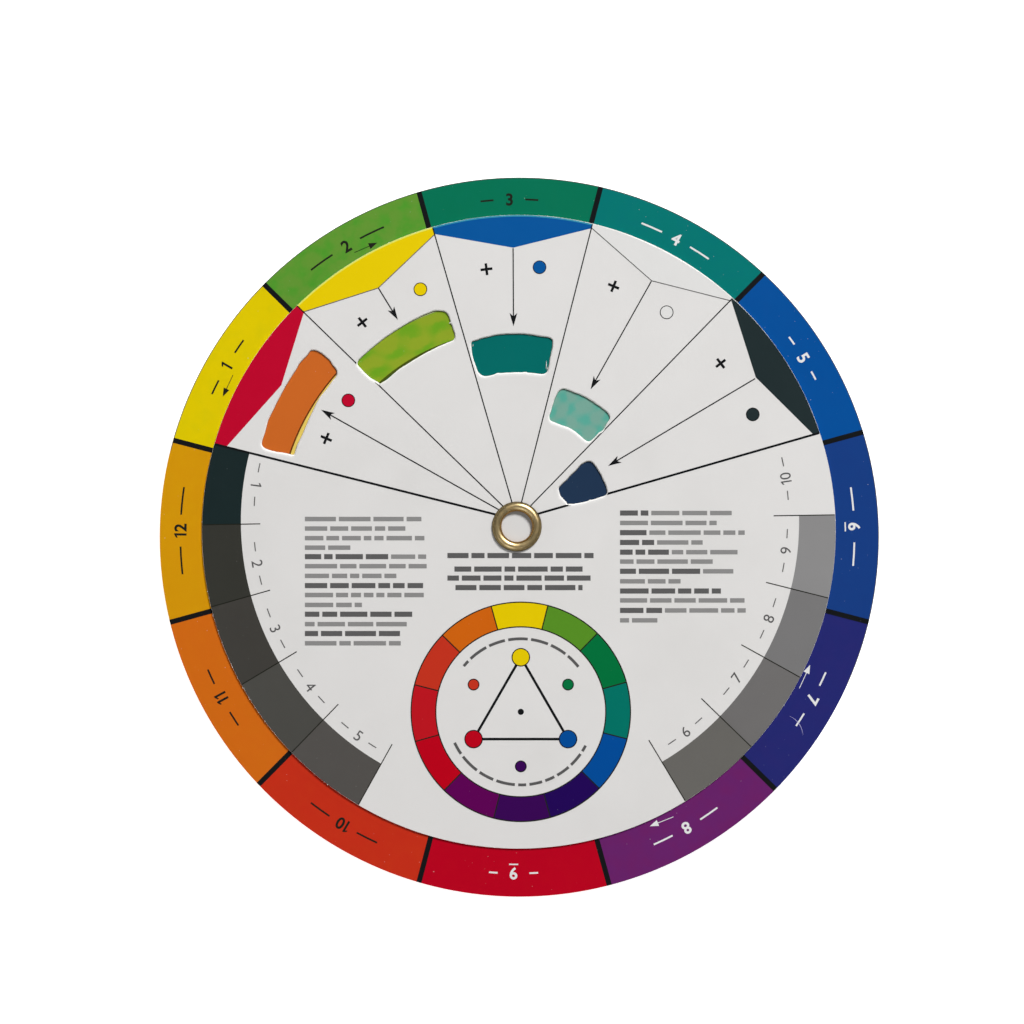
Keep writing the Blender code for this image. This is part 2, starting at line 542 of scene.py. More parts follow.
# Pieces
def addPiece(name, bm, body, finishes, level=0.0, below=False, sharp=35):
    bmesh.ops.remove_doubles(bm, verts=bm.verts, dist=0.0002 * mm)
    if below:  # drawn as seen from behind, then turned over on to the underside
        bmesh.ops.rotate(bm, verts=bm.verts, cent=(0, 0, 0), matrix=Matrix.Rotation(math.pi, 3, "Y"))
    bmesh.ops.translate(bm, verts=bm.verts, vec=(0, 0, level))
    bmesh.ops.recalc_face_normals(bm, faces=bm.faces)
    mesh = meshOf(name, bm)
    mesh.shade_smooth()
    mesh.set_sharp_from_angle(angle=math.radians(sharp))
    for face in mesh.polygons:  # level faces stay flat, or a bevel's shading would run across them
        if abs(face.normal.z) > 0.9999:
            face.use_smooth = False
    for finish in finishes:
        mesh.materials.append(finish)
    piece = linked(name, mesh)
    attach(piece, body)
    return piece


def onBase(name, bm, finishes):
    return addPiece(name, bm, "base", finishes, baseHigh.z)


def onDial(name, bm, finishes):
    return addPiece(name, bm, "front_dial_body", finishes, dialHigh.z)


def underBase(name, bm, finishes):
    return addPiece(name, bm, "base", finishes, baseLow.z, True)


def underRearDial(name, bm, finishes):
    return addPiece(name, bm, "rear_dial_body", finishes, rearLow.z, True)


# Finishes
def coreMaterial(name, dark, light):  # the pulp that shows where a card is cut
    board = Board(name, {"Roughness": 0.8, "Specular IOR Level": 0.25})
    pulp = board.noise(0.12 * mm, 4.0, (1, 1, 3))
    return board.finish(board.mix(pulp, dark, light), 0.7 + 0.2 * pulp, pulp, 0.03 * mm, 0.5)


def whiteCard(board):
    smudge = board.ease(board.noise(22 * mm, 3.0), 0.45, 0.75)
    return board.mix(0.35 * smudge, cardWhite, (213, 211, 208))


hueInk = laminated("hue ring ink", ringColour)
cardFace = laminated("white card face", whiteCard, 0.0)
cardCore = coreMaterial("card core", (236, 234, 229), (253, 252, 249))
boardCore = coreMaterial("base card core", (158, 154, 147), (206, 202, 194))
# painted shade: a dark copy of the core for the lip at the foot of each window
paintedShadeCore = coreMaterial("dirty card core", (82, 77, 67), (112, 106, 94))
blackInk = plainInk("black ink", inkBlack, 0.1)
whiteInk = plainInk("white ink", (226, 226, 226))
softInk = plainInk("thin line ink", (88, 87, 87))
paleInk = plainInk("text bar ink", (138, 137, 136))
boldInk = plainInk("bold text bar ink", (92, 91, 91))
scratchInk = plainInk("scratch", (176, 172, 214))
labelInk = plainInk("label ink", (30, 31, 24))
print("inks mixed")


# Cards, with eased cut edges: height as a share of the card, and how far outside the outline in mm
cutEdge = {
    "rim": [(0.0, -0.03), (0.15, 0.0), (0.85, 0.0), (1.0, -0.03)],
    "crushedRim": [(0.0, -0.03), (0.15, 0.0), (0.75, 0.0), (1.0, -1.0)],  # -1 goes in by rimInset
    "hole": [(0.0, 0.0), (1.0, 0.0)],
    "window": [
        (0.01, 0.0), (0.28, 0.03), (0.52, 0.11), (0.74, 0.23), (0.88, 0.34), (0.96, 0.48), (1.0, 0.68)
    ],
    "pulp": 0.3,  # in mm, the core shows up to here
    "crushedWay": Vector((-0.3, -0.95)),
    "least": 0.34,
    # in mm, how far the lip of painted shade reaches into a window at most
    "lip": 0.09,
}


def crushed(way):  # the die leaned, so the card is crushed wider on one side of each window
    return max(cutEdge["least"], 0.5 + 0.6 * way.dot(cutEdge["crushedWay"]))


def dirty(way):  # a dark lip of painted shade lies at the foot of the cut, widest on the sides whose shadow falls into the window
    return min(1, max(0.15, 0.6 - way.dot(cutEdge["crushedWay"])))


def cutLoops(outline, kind):  # from the bottom up: share of the height, points, and finish below
    loops = []
    if kind == "window":
        # the lowest band of each window is painted shade, a dark lip along the foot of the cut
        loops.append((0.0, offsetLoop(outline, -cutEdge["lip"] * mm, dirty), 1))
    for height, offset in cutEdge[kind]:
        share = crushed if kind == "window" else rimInset if offset == -1.0 else evenly
        finish = 3 if len(loops) == 1 and kind == "window" else int(offset < cutEdge["pulp"])
        loops.append((height, offsetLoop(outline, offset * mm, share), finish))
    return loops


def cardPiece(name, node, body, edge, finishes, windows=()):
    low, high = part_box(node)
    thick = high.z - low.z
    hole = circlePoints(pivot, holeRadius, sides["hole"])
    outlines = [(edge, "crushedRim" if windows else "rim"), (hole, "hole")]
    outlines += [(window, "window") for window in windows]
    bm = bmesh.new()
    caps = {2: [], 0: []}  # the edges of the rear and of the front, by their finish
    for outline, kind in outlines:
        loops = cutLoops(outline, kind)
        rings = []
        for height, points, _ in loops:
            rings.append([bm.verts.new((point.x, point.y, low.z + height * thick)) for point in points])
        for k in range(1, len(rings)):
            strip(bm, rings[k - 1], rings[k], loops[k][2])
        for finish, row in ((2, rings[0]), (0, rings[-1])):
            caps[finish] += [bm.edges.get((row[i - 1], vert)) for i, vert in enumerate(row)]
    for finish, edges in caps.items():
        filled = bmesh.ops.triangle_fill(bm, use_beauty=True, edges=edges, normal=(0, 0, 1))
        for item in filled["geom"]:
            if isinstance(item, bmesh.types.BMFace):
                item.material_index = finish
    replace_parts(addPiece(name, bm, body, finishes), node)


# Windows, cut by hand-set dies, so that no two corners are alike. Inner and outer radius in mm, start
# and end in degrees, and the easing of the corners in mm: outer start, outer end, inner end, inner start
windows = {
    "red": (44.8, 52.0, 140.1, 164.2, (1.2, 1.6, 1.0, 1.6)),
    "yellow": (37.0, 43.75, 108.5, 136.0, (2.3, 1.1, 0.5, 1.3)),
    "blue": (28.7, 36.2, 78.3, 104.8, (1.2, 0.9, 1.5, 1.5)),
    "white": (20.3, 27.3, 46.8, 72.7, (1.5, 1.4, 1.1, 1.2)),
    "black": (10.05, 18.5, 15.7, 39.9, (1.5, 1.3, 1.0, 0.3)),
}
windowCut = {"arcSteps": 28, "sideSteps": 14, "cornerSteps": 6, "wobble": 0.035 * mm, "waves": (5, 11, 23)}
flaws = {  # where the cut strays: pixel of the photograph, how far outwards and over what width, in mm
    "red": [
        (299.5, 364, 0.14, 0.7), (308, 355, -0.2, 0.8), (322, 354, 0.5, 1.6), (331, 379, -0.12, 2.0),
        (318, 398, -0.22, 1.8), (312, 410, -0.2, 4.2), (292, 446, -0.42, 2.6), (264, 430, -0.2, 2.0),
        (268, 424, 0.2, 2.0), (271, 451, 0.1, 1.6), (328, 361, 0.34, 1.0),
    ],
    "yellow": [
        (449.7, 322.7, -0.34, 0.22), (440, 309, -0.3, 1.0), (361, 366, -0.1, 1.0),
        (379, 382, -0.66, 1.3), (396, 370, -0.2, 2.6),
    ],
    "blue": [
        (474, 338.5, -0.42, 1.2), (485, 336, -0.2, 1.4), (541, 335.5, -0.22, 2.4),
        (553, 339, -0.14, 1.0), (473, 357, 0.24, 1.6), (480, 375, -0.1, 0.7), (488, 374.5, 0.16, 1.2),
        (551, 357, -0.1, 1.2), (525, 371.8, -0.14, 0.3), (497, 373, -0.1, 0.4),
    ],
    "white": [
        (572, 428.5, -0.3, 2.0), (583, 438.5, -0.1, 1.2), (559, 388, -0.34, 1.3), (573, 391, -0.18, 1.3),
        (606, 419, -0.24, 1.0), (603, 430, 0.34, 0.7), (599.3, 433, -0.22, 0.22),
    ],
    "black": [
        (580, 464, 0.3, 1.0), (565.5, 479, -0.2, 1.0), (560.5, 485, -0.28, 0.8), (560, 495, 0.4, 1.1),
        (567.5, 503.5, -0.3, 0.8), (589, 500, 0.24, 2.4), (607, 494.5, 0.24, 0.8),
        (590, 499.5, -0.3, 0.22),
    ],
}


def windowArc(radius, start, startEase, end, endEase):  # between two eased corners
    first = start + math.degrees(startEase / radius)
    last = end - math.degrees(endEase / radius)
    return arcPoints(dialPrint, radius, first, last, windowCut["arcSteps"])


def windowSide(angle, firstRadius, lastRadius):
    first, last = polar(dialPrint, firstRadius, angle), polar(dialPrint, lastRadius, angle)
    steps = windowCut["sideSteps"]
    return [first.lerp(last, i / steps) for i in range(steps + 1)]


def cornerCurve(before, corner, after):
    curve = []
    for i in range(1, windowCut["cornerSteps"]):
        t = i / windowCut["cornerSteps"]
        curve.append(before * (1 - t) ** 2 + corner * 2 * t * (1 - t) + after * t * t)
    return curve


def windowLoop(name, shaky):
    inner, outer, start, end, ease = windows[name]
    inner, outer = inner * mm, outer * mm
    outerStart, outerEnd, innerEnd, innerStart = [size * mm for size in ease]
    runs = [
        windowArc(outer, start, outerStart, end, outerEnd),
        windowSide(end, outer - outerEnd, inner + innerEnd),
        windowArc(inner, end, -innerEnd, start, -innerStart),
        windowSide(start, inner + innerStart, outer - outerStart),
    ]
    loop = []
    for k, (radius, angle) in enumerate(((outer, end), (inner, end), (inner, start), (outer, start))):
        corner = polar(dialPrint, radius, angle)
        loop += runs[k] + cornerCurve(runs[k][-1], corner, runs[(k + 1) % 4][0])
    drift = [shaky.uniform(0, math.tau) for _ in windowCut["waves"]]
    out = []
    for i, point in enumerate(loop):
        turn = math.tau * i / len(loop)
        waves = [math.sin(turn * rate + shift) for rate, shift in zip(windowCut["waves"], drift)]
        push = sum(waves) / 3 * windowCut["wobble"]
        for x, y, reach, width in flaws[name]:
            away = (point - fromPhoto(x, y)).length / (width * mm)
            push += reach * mm * math.exp(-(away**2))
        along = (loop[(i + 1) % len(loop)] - loop[i - 1]).normalized()
        out.append(point + Vector((along.y, -along.x)) * push)
    return out


shaky = random.Random(7)
windowLoops = {name: windowLoop(name, shaky) for name in windows}
dialEdge = circlePoints(dialCentre, dialRadius, sides["card"])
baseEdge = circlePoints(baseCentre, baseRadius, sides["card"])
rearEdge = circlePoints(pivot, rearRadius, sides["rearCard"])
dialFinishes = [cardFace, cardCore, cardFace, paintedShadeCore]
baseFinishes = [cardFace, boardCore, cardFace]
openings = list(windowLoops.values())
cardPiece("dialCard", "front_dial", "front_dial_body", dialEdge, dialFinishes, openings)
cardPiece("baseCard", "base_disc", "base", baseEdge, baseFinishes)
cardPiece("rearDialCard", "rear_dial", "rear_dial_body", rearEdge, dialFinishes[:3])
print("cards cut")


# Front print of the base disc
ring = {
    "edge": baseRadius - 0.03 * mm,
    "inner": 8.0 * mm,
    "darkEdge": (-24, 166),  # degrees
    "darkEdgeLine": 0.14 * mm,
    "separator": 1.0 * mm,
    "labelCentre": fromPhoto(516.9, 535.9),
    "labelRadius": 65.57 * mm,
    "numberHeight": 2.4 * mm,
    "weight": 0.025,
    "dash": 0.34 * mm,
    "dashGap": 3.1 * mm,
    "dashes": [1.8, 4.32, 2.52, 5.16, 3.0, 5.4, 3.12, 4.44, 1.68, 4.08, 2.88, 4.56],  # mm, by hue
    "paleNumbers": (4, 5, 6, 7, 8, 9),
    "underlined": (6, 9),  # the two numbers that read alike upside down
    "underlineDrop": 1.75 * mm,
    "underlineHalf": 0.8,  # degrees
    "underline": 0.26 * mm,
}
patches = {  # inner and outer radius in mm, the mixed colour, then how blotchy, on which lattice, how pale
    "black": (10.5, 21.2, lambda index: between(hueList[index], (46, 42, 48), 0.70)),
    "white": (21.4, 29.6, lambda index: between(hueList[index], (236, 216, 192), 0.5), 0.85, "tint", 0.36),
    "blue": (29.8, 37.95, lambda index: between(toward(index, 0, 0.5), (0, 0, 0), 0.09)),
    "yellow": (38.15, 44.6, lambda index: between(toward(index, 4, 0.37), (110, 130, 130), 0.08), 1.0),
    "outer gap": (44.65, 45.46, lambda index: between(hueList[index], (232, 200, 176), 0.55)),
    "red": (45.5, 52.4, lambda index: between(toward(index, 8, 0.5), (230, 110, 140), 0.12)),
}
patchLine = {"width": 0.3 * mm, "yellow": 0.5 * mm}  # width of the darker line at the inner edge of each patch, in the patch's own hues at half strength


def makeHueRing():
    bm = bmesh.new()
    outer = hitArc(basePrint, 0, 360, baseCentre, ring["edge"], sides["card"])[:-1]
    band(bm, circlePoints(basePrint, ring["inner"], sides["card"]), outer, 0, film["first"])
    onBase("hueRing", bm, [hueInk])
    bm = bmesh.new()
    width = ring["darkEdgeLine"]
    arcBar(bm, baseCentre, ring["edge"] - width / 2, *ring["darkEdge"], width)
    onBase("hueRingEdge", bm, [softInk])


def makePatches():
    patchArt, lineArt = bmesh.new(), bmesh.new()
    patchInks, lineInks = [], []
    for name, (inner, outer, recolour, *blotches) in patches.items():
        colours = [recolour(index) for index in range(12)]
        loops = [circlePoints(basePrint, radius * mm, sides["patch"]) for radius in (inner, outer)]
        band(patchArt, *loops, len(patchInks))
        patchInks.append(laminated(name + " mixtures ink", printedHues(colours, basePrint, *blotches)))
        if "gap" not in name:
            dark = [between(colour, (0, 0, 0), 0.5) for colour in colours]
            width = patchLine.get(name, patchLine["width"])
            circleLine(lineArt, basePrint, inner * mm, width, len(lineInks), film["third"])
            lineInks.append(laminated(name + " outline ink", printedHues(dark, basePrint), 0.0))
    onBase("mixturePatches", patchArt, patchInks)
    onBase("patchOutlines", lineArt, lineInks)


def makeSeparators():
    bm = bmesh.new()
    for k in range(12):
        angle = hueStart + 30 * k
        end = rayHit(basePrint, angle, baseCentre, ring["edge"])
        bar(bm, polar(basePrint, ring["inner"], angle), end, ring["separator"])
    onBase("ringSeparators", bm, [blackInk])


def hueNumber(bm, step, centre, radius, angle):  # 1 to 12, clockwise from yellow, each in its sector
    value = (4 - step) % 12 + 1
    pale = int(value in ring["paleNumbers"])
    number(bm, value, polar(centre, radius, angle), ring["numberHeight"], angle - 90, pale, ring["weight"])
    if value in ring["underlined"]:
        half = ring["underlineHalf"]
        low = radius - ring["underlineDrop"]
        arcBar(bm, centre, low, angle - half, angle + half, ring["underline"], pale)
    return pale


def makeLabels():
    bm = bmesh.new()
    centre, radius = ring["labelCentre"], ring["labelRadius"]
    for step, dash in enumerate(ring["dashes"]):
        angle = headingOf(rayHit(basePrint, hueStart + 15 + 30 * step, centre, radius) - centre)
        pale = hueNumber(bm, step, centre, radius, angle)
        near = ring["dashGap"]
        sideBars(bm, centre, radius, angle, near, near + dash * mm, ring["dash"], pale)
    onBase("ringNumbers", bm, [labelInk, whiteInk])


warmCool = {  # small arrows beside the two edges between warm and cool hues, in pixels of the photograph
    "shaft": 0.13 * mm,
    "head": 1.7 * mm,
    "shape": (1.0, 0.36),
    "dark": [((232.5, 374.5), (222.3, 396.2)), ((354, 252), (376.8, 242.2))],
    "pale": [((798.9, 687.7), (809.6, 664.4)), ((672.9, 816.3), (649.3, 825.7))],
}


def makeRingArrows():
    bm = bmesh.new()
    for index, group in enumerate(("dark", "pale")):
        for ends in warmCool[group]:
            tail, tip = [fromPhoto(*end) for end in ends]
            shaft, head = warmCool["shaft"], warmCool["head"]
            arrow(bm, tail, tip, shaft, head, index, film["second"], *warmCool["shape"])
    onBase("ringArrows", bm, [labelInk, whiteInk])


makeHueRing()
makePatches()
makeSeparators()
makeLabels()
makeRingArrows()
print("base disc printed")


# Print of the front dial
addedColours = {
    "black": (32, 44, 46),
    "white": (221, 220, 218),
    "blue": (3, 82, 152),
    "yellow": (229, 200, 1),
    "red": (188, 4, 42),
}
rules = [16.03, 45.79, 75.69, 106.11, 135.77, 165.94]  # degrees round the dial's print centre
ruleEnd = dialRadius - 0.1 * mm
chevrons = {  # the point of each, in pixels of the photograph
    "black": (755, 377),
    "white": (651, 280.5),
    "blue": (512.7, 247.5),
    "yellow": (378, 287.7),
    "red": (281, 385),
}
chevronLook = {
    "ends": [(812, 433.6), (730.7, 300.7), (591.3, 228), (434.6, 233.9), (303.8, 311.5), (227, 445.5)],
    "outlined": ("white", "yellow"),
    "line": 0.17 * mm,
    "rim": 0.3 * mm,
    "rimGlints": {"yellow": (224, 226, 92), "blue": (52, 142, 170)},  # painted highlights: lighter ink along the rim, where the light catches it
}


def makeChevrons():
    bm, lines, glints = bmesh.new(), bmesh.new(), bmesh.new()
    inks, glintInks = [], []
    ends, steps = chevronLook["ends"], sides["chevronArc"]
    for index, (name, pixel) in enumerate(chevrons.items()):
        outer = inkedRim(hitArc(dialPrint, rules[index], rules[index + 1], dialCentre, dialRadius, steps))
        last, point, first = [fromPhoto(*place) for place in (ends[index + 1], pixel, ends[index])]
        slab(bm, outer + [last, point, first], index, film["first"])
        inks.append(plainInk(name + " chevron ink", addedColours[name], 0.15))
        # painted highlight: a band of lighter ink along the rim of the yellow and blue chevrons
        if name in chevronLook["rimGlints"]:
            inner = [place.lerp(dialCentre, chevronLook["rim"] / dialRadius) for place in outer]
            slab(glints, outer + inner[::-1], len(glintInks))
            glintInks.append(plainInk(name + " rim glint ink", chevronLook["rimGlints"][name]))
        for end in (last, first) if name in chevronLook["outlined"] else ():
            bar(lines, point, end, chevronLook["line"])
    onDial("chevrons", bm, inks)
    onDial("chevronLines", lines, [softInk])
    onDial("chevronRimGlints", glints, glintInks)


greys = [  # start and end in degrees, and the colour of each grey value
    (165.94, 180.9, (25, 39, 40)),
    (180.9, 195.9, (52, 52, 47)),
    (195.9, 210.9, (63, 61, 57)),
    (210.9, 225.9, (74, 73, 69)),
    (225.9, 240.9, (82, 79, 76)),
    (300.9, 315.9, (103, 101, 97)),
    (315.9, 330.9, (110, 108, 107)),
    (330.9, 345.9, (119, 118, 118)),
    (345.9, 360.9, (138, 137, 137)),
]
greyBand = {"centre": fromPhoto(519.5, 521), "inner": 54.25 * mm, "ticks": 49.9 * mm, "line": 0.2 * mm}


def makeGreyBand():
    bm = bmesh.new()
    inks = []
    steps = sides["greyArc"]
    for start, end, colour in greys:
        outer = inkedRim(hitArc(dialPrint, start, end, dialCentre, dialRadius, steps))
        inner = hitArc(dialPrint, start, end, greyBand["centre"], greyBand["inner"], steps)
        slab(bm, outer + inner[::-1], len(inks), film["first"])
        inks.append(plainInk("grey value %d ink" % (len(inks) + 1), colour, 0.1))
    onDial("greyScale", bm, inks)
    bm = bmesh.new()
    for angle in sorted({angle for *ends, _ in greys for angle in ends})[1:]:
        start = polar(dialPrint, greyBand["ticks"], angle)
        bar(bm, start, rayHit(dialPrint, angle, dialCentre, ruleEnd), greyBand["line"])
    onDial("greyScaleTicks", bm, [labelInk])


def cutByWindows(piece, reach=0.5 * mm):  # takes the ink away where a window is cut through it
    cutters = []
    for name, loop in windowLoops.items():
        bm = bmesh.new()
        prism(bm, offsetLoop(loop, cutEdge["pulp"] * mm, crushed), dialHigh.z - reach, dialHigh.z + reach)
        bmesh.ops.recalc_face_normals(bm, faces=bm.faces)
        cutter = linked(name + "Cutter", meshOf(name + "Cutter", bm))
        modifier = piece.modifiers.new(name, "BOOLEAN")
        modifier.operation = "DIFFERENCE"
        modifier.object = cutter
        cutters.append(cutter)
    cut = evaluatedMesh(piece)
    piece.modifiers.clear()
    piece.data = cut
    for cutter in cutters:
        bpy.data.objects.remove(cutter)


ruleLook = {"thick": 0.42 * mm, "thin": 0.23 * mm, "start": 3.5 * mm}
arrows = {  # tail and tip, in pixels of the photograph
    "red": ((498.5, 509.3), (321, 409.5)),
    "yellow": ((378, 287.7), (397.5, 319.5)),
    "blue": ((512.6, 248), (513, 326)),
    "white": ((650.7, 281), (590, 389)),
    "black": ((754.3, 378.3), (607.5, 465.5)),
}
arrowLook = {"shaft": 0.23 * mm, "head": 2.6 * mm}


def makeRules():
    bm = bmesh.new()
    for angle in rules:
        width = ruleLook["thick"] if angle in (rules[0], rules[-1]) else ruleLook["thin"]
        start = rayHit(dialPrint, angle, pivot, ruleLook["start"])
        bar(bm, start, rayHit(dialPrint, angle, dialCentre, ruleEnd), width)
    cutByWindows(onDial("dialRules", bm, [blackInk]))
    bm = bmesh.new()
    for tail, tip in arrows.values():
        ends = fromPhoto(*tail), fromPhoto(*tip)
        arrow(bm, *ends, arrowLook["shaft"], arrowLook["head"], 0, film["third"])
    onDial("dialArrows", bm, [blackInk])


signs = {  # a plus sign and a spot of the added colour by each arrow: places in pixels of the photograph
    "red": ((326, 438), (348, 400)),
    "yellow": ((362, 322), (420, 289)),
    "blue": ((486, 269), (539, 267)),
    "white": ((613, 286), (666, 312)),
    "black": ((720, 363), (752, 414)),
}
signLook = {"arm": 1.15 * mm, "stroke": 0.5 * mm, "spot": 1.25 * mm, "outline": 0.16 * mm}


def makeSigns():
    bm = bmesh.new()
    arm, half = signLook["arm"], signLook["stroke"] / 2
    for index, (plus, spot) in enumerate(signs.values()):
        centre = fromPhoto(*plus)
        spin = Matrix.Rotation(math.radians(headingOf(centre - dialPrint) - 90), 2)
        outline = []
        for quarter in range(4):  # the same three corners, turned
            for x, y in ((half, half), (half, arm), (-half, arm)):
                for _ in range(quarter):
                    x, y = -y, x
                outline.append(centre + spin @ Vector((x, y)))
        slab(bm, outline)
        place = fromPhoto(*spot)
        dot(bm, place, signLook["spot"], index + 1, film["first"])
        circleLine(bm, place, signLook["spot"], signLook["outline"], steps=sides["spot"])
    inks = [plainInk(name + " spot ink", addedColours[name]) for name in signs]
    onDial("addingSigns", bm, [blackInk] + inks)


greyNumbers = {
    "places": [  # of 1 to 10, in pixels of the photograph
        (256, 484), (257, 563), (275, 628), (310, 686), (358, 735),
        (685, 731), (736, 677), (768, 618), (785, 550), (785, 478),
    ],
    "height": 2.1 * mm,
    "dashFrom": 2.4 * mm,
    "dashTo": 4.2 * mm,
    "dash": 0.2 * mm,
}


def makeGreyNumbers():
    bm = bmesh.new()
    near, far, width = [greyNumbers[key] for key in ("dashFrom", "dashTo", "dash")]
    for value, pixel in enumerate(greyNumbers["places"], 1):
        place = fromPhoto(*pixel)
        angle = headingOf(place - dialPrint)
        number(bm, value, place, greyNumbers["height"], angle + 90)
        sideBars(bm, dialPrint, (place - dialPrint).length, angle, near, far, width)
    onDial("greyScaleNumbers", bm, [softInk])


# Rows of plain bars: the left end of each block, then y, right end and how far bold runs, all in pixels
textBlocks = {
    "left": (304.6, [
        (518.5, 421, 0), (528, 405, 0), (537.6, 424, 0), (547.1, 350, 0), (556.1, 425.8, 74),
        (565.6, 426.3, 0), (575.3, 396, 0), (585, 422.7, 200), (594.4, 423.4, 0), (604.3, 361.6, 0),
        (613.6, 411.8, 200), (623.5, 406.4, 0), (632.9, 399.6, 200), (642.6, 400.4, 0),
    ]),
    "right": (619.4, [
        (512.5, 731, 26), (522.4, 716, 0), (532.1, 744, 22), (541.9, 702, 28), (551.6, 736.8, 46),
        (561, 712, 0), (570.7, 732.6, 66), (580.7, 679.9, 0), (590.4, 720.2, 100), (599.8, 743.8, 0),
        (609.8, 745, 28), (619.7, 656.7, 0),
    ]),
    "heading": (447, [(555, 593, 200)]),
    "lineOne": (454, [(568.5, 582, 200)]),
    "lineTwo": (447, [(577.5, 590, 200)]),
    "lineThree": (455, [(587, 582, 200)]),
}
textLook = {
    "bar": 0.86 * mm,
    "boldBar": 1.0 * mm,
    "space": 2.9,  # pixels, as the three below
    "least": 3,
    "shortest": 7.0,
    "longest": 33.0,
}


def makeTextBars():
    bm = bmesh.new()
    words = random.Random(23)
    shortest = textLook["shortest"]
    for left, rows in textBlocks.values():
        for y, end, boldRun in rows:
            x = left
            while x < end - textLook["least"]:
                length = min(words.uniform(shortest, textLook["longest"]), end - x)
                if end - x - length < shortest:
                    length = end - x
                bold = x - left < boldRun
                height = textLook["boldBar" if bold else "bar"]
                bar(bm, fromPhoto(x, y), fromPhoto(x + length, y), height, int(bold))
                x += length + textLook["space"]
    onDial("textBars", bm, [paleInk, boldInk])


# The small guide ring: twelve hues round a diagram of the primaries
guide = {
    "centre": fromPhoto(520.3, 711.1),
    "outer": 21.32 * mm,
    "inner": 16.52 * mm,
    "start": 75.7,
    "line": 0.23 * mm,
    "figure": 10.6 * mm,
    "figureLine": 0.5 * mm,
    "spots": (1.7 * mm, 1.05 * mm),  # primaries on the corners, and between them the hues that they make
    "spotLine": 0.2 * mm,
    "middleSpot": 0.6 * mm,
    "colours": [
        (227, 198, 0), (206, 98, 14), (194, 50, 30), (188, 20, 31), (186, 0, 25), (93, 0, 83),
        (56, 4, 83), (33, 4, 85), (0, 74, 150), (0, 113, 99), (0, 111, 58), (86, 141, 36),
    ],
    "curveRadius": 14.2 * mm,
    "curveBar": 0.55 * mm,
    "curves": ((38, 142), (205, 335)),  # degrees, as the spans and the space between them
    "spans": (5, 16),
    "space": 2.6,
    "shortest": 3,
}


def guideColour(board):
    return colourByAngle(board, guide["centre"], guide["start"], guide["colours"])


def makeGuideRing():
    centre, radii = guide["centre"], (guide["inner"], guide["outer"])
    bm = bmesh.new()
    band(bm, *[circlePoints(centre, radius, sides["line"]) for radius in radii], 0, film["first"])
    onDial("guideRing", bm, [laminated("guide ring ink", guideColour, 0.1)])
    bm = bmesh.new()
    for radius in radii:
        circleLine(bm, centre, radius, guide["line"])
    for k in range(12):
        bar(bm, *[polar(centre, radius, guide["start"] + 30 * k) for radius in radii], guide["line"])
    onDial("guideOutlines", bm, [labelInk])


def makeGuideFigure():
    centre = guide["centre"]
    bm = bmesh.new()
    corners = [polar(centre, guide["figure"], 90 + 120 * k) for k in range(3)]
    for i in range(3):
        bar(bm, corners[i - 1], corners[i], guide["figureLine"], 0, film["first"])
    inks = [blackInk]
    for k in range(6):
        place = polar(centre, guide["figure"], 90 + 60 * k)
        dot(bm, place, guide["spots"][k % 2], k + 1)
        circleLine(bm, place, guide["spots"][k % 2], guide["spotLine"], 0, film["third"], sides["spot"])
        inks.append(plainInk("guide spot %d ink" % (k + 1), guide["colours"][2 * k]))
    dot(bm, centre, guide["middleSpot"], 0, film["first"])
    onDial("guideFigure", bm, inks)
    bm = bmesh.new()
    words = random.Random(5)
    for angle, end in guide["curves"]:
        while angle < end - guide["shortest"]:
            span = min(words.uniform(*guide["spans"]), end - angle)
            arcBar(bm, centre, guide["curveRadius"], angle, angle + span, guide["curveBar"])
            angle += span + guide["space"]
    onDial("guideCurvedBars", bm, [softInk])


makeChevrons()
makeGreyBand()
makeRules()
makeSigns()
makeGreyNumbers()
makeTextBars()
makeGuideRing()
makeGuideFigure()
print("front dial printed")


# Rear print: the same hues pure, tinted, toned and darkened, and a dial of harmony figures
rearBands = {  # inner and outer radius in mm, the colour mixed in and its share
    "pure": (63.4, 69.9, cardWhite, 0.0),
    "tint": (57.2, 63.2, cardWhite, 0.45),
    "tone": (51.0, 57.0, (120, 119, 117), 0.55),
    "shade": (42.0, 50.8, (36, 37, 39), 0.62),
}
rearLook = {"numberRadius": 66.6 * mm, "separator": 0.9 * mm}
rearPlan = Vector((-pivot.x, pivot.y))  # the pivot as seen from behind


def makeRearPrint():
    bm = bmesh.new()
    inks = []
    for name, (inner, outer, added, share) in rearBands.items():
        colours = [between(hue, added, share) for hue in hueList]
        loops = [circlePoints(origin, radius * mm, sides["card"]) for radius in (inner, outer)]
        band(bm, *loops, len(inks), film["first"])
        inks.append(laminated("rear " + name + " ink", printedHues(colours, origin)))
    underBase("rearBands", bm, inks)
    bm = bmesh.new()
    numbers = bmesh.new()
    ends = rearBands["shade"][0] * mm, rearBands["pure"][1] * mm
    for step in range(12):
        angle = 180 - (hueStart + 30 * step)
        bar(bm, *[polar(origin, radius, angle) for radius in ends], rearLook["separator"])
        hueNumber(numbers, step, origin, rearLook["numberRadius"], angle - 15)
    underBase("rearSeparators", bm, [blackInk])
    underBase("rearNumbers", numbers, [labelInk, whiteInk])


harmony = {  # figures of the rear dial: the steps of 30 degrees that each joins, and its line in mm
    "complement": ([0, 6], 0.6),
    "triad": ([0, 4, 8], 0.42),
    "square": ([0, 3, 6, 9], 0.24),
    "split": ([0, 5, 7], 0.24),
}
harmonyLook = {
    "radius": 36.0 * mm,
    "ring": 39.0 * mm,
    "tick": 44.6 * mm,
    "middle": 6.0 * mm,
    "line": 0.2 * mm,
    "spots": (1.5 * mm, 0.9 * mm),  # at the first step, and at the others
    "heads": (3.2 * mm, 2.0 * mm),
}


